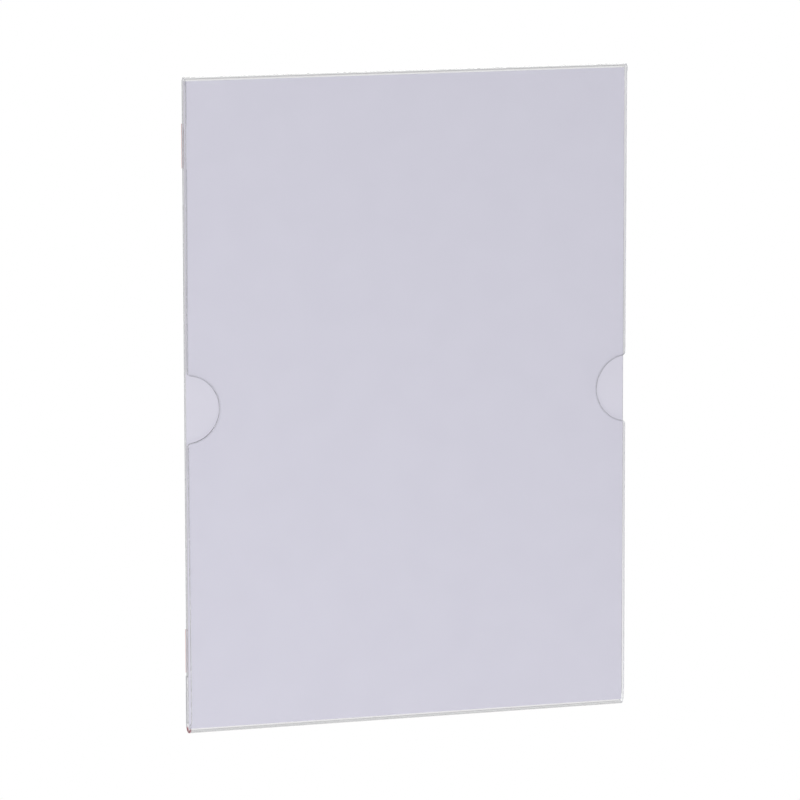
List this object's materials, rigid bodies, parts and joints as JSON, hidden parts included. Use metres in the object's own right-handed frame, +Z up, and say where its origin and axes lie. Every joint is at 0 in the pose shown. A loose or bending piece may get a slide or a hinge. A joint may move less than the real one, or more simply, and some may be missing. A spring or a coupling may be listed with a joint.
{
  "type": "self-adhesive poster pocket",
  "caption": "Flat clear pocket folded from plastic sheet round a blank A4 card, open at both sides with thumb notches, with adhesive tapes and red liners behind.",
  "frame": {"origin": "middle of the upper tape liner's outer face, which is the plane of the wall", "axes": "+Z up along the pocket's height, +Y into the wall so that the clear front looks along -Y, +X to the right seen from the front"},
  "size_m": [0.211, 0.0079, 0.3005],
  "materials": {
    "clear_plastic": "clear, smooth and glossy, with paler cut edges",
    "card": "matt, blank, pale lavender grey",
    "clear_tape": "clear soft acrylic mounting tape",
    "bond_film": "thin clear double-sided film",
    "liner_red": "smooth red release film"
  },
  "bodies": {
    "root": {"sleeve": "clear_plastic", "blank_card": "card", "flap_bond_film": "bond_film", "upper_tape": "clear_tape", "lower_tape": "clear_tape", "upper_tape_liner": "liner_red", "lower_tape_liner": "liner_red"}
  },
  "joints": []
}
